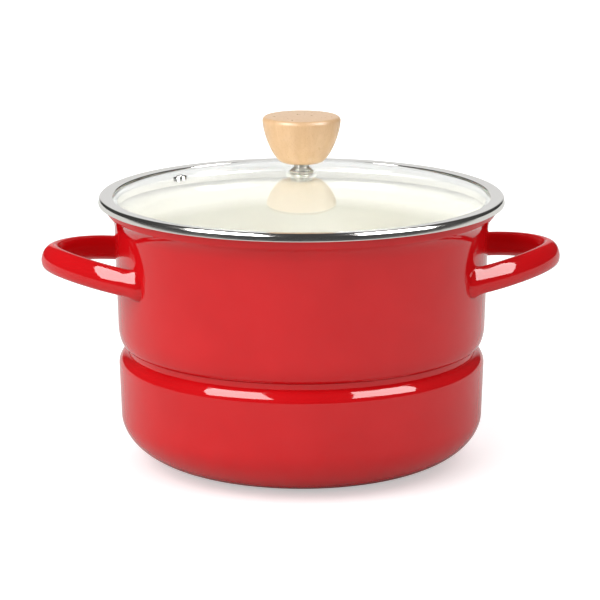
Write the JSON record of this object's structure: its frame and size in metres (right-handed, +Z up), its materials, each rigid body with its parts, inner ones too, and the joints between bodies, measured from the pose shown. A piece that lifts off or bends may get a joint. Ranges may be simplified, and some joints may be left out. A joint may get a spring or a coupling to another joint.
{
  "type": "steamer pot",
  "caption": "Enamelled pot with a pressed waist that carries a perforated steamer tray, two loop handles and a domed glass lid with a steel ring, wooden knob and vent.",
  "frame": {"origin": "centre of the base on the plane the pot stands on", "axes": "+X runs through the two handles towards handle_right, +Z up along the pot's axis"},
  "size_m": [0.321, 0.25, 0.215],
  "materials": {
    "red_enamel": "glossy vitreous enamel",
    "satin_steel": "satin",
    "polished_steel": "polished",
    "tempered_glass": "clear",
    "silicone": "translucent matte",
    "beech": "fine sanded, clear lacquer",
    "brass": "machined"
  },
  "bodies": {
    "pot": {"pot_body": "red_enamel", "handle_left": "red_enamel", "handle_right": "red_enamel"},
    "lid": {"lid_glass": "tempered_glass", "lid_ring": "polished_steel", "lid_gasket": "silicone", "vent_eyelet": "polished_steel", "knob": "beech", "knob_collar": "polished_steel", "knob_seal_top": "silicone", "knob_seal_bottom": "silicone", "knob_washer": "polished_steel", "knob_screw": "polished_steel", "knob_insert": "brass"},
    "tray": {"steamer_tray": "satin_steel"}
  },
  "joints": [
    {"name": "lid_lift", "type": "slide", "parent": "pot", "child": "lid", "axis": [0, 0, 1], "range_m": [0, 0.28]},
    {"name": "tray_lift", "type": "slide", "parent": "pot", "child": "tray", "axis": [0, 0, 1], "range_m": [0, 0.14]}
  ],
  "couplings": [
    {"joint": "tray_lift", "follows": "lid_lift", "ratio": 0.5}
  ]
}
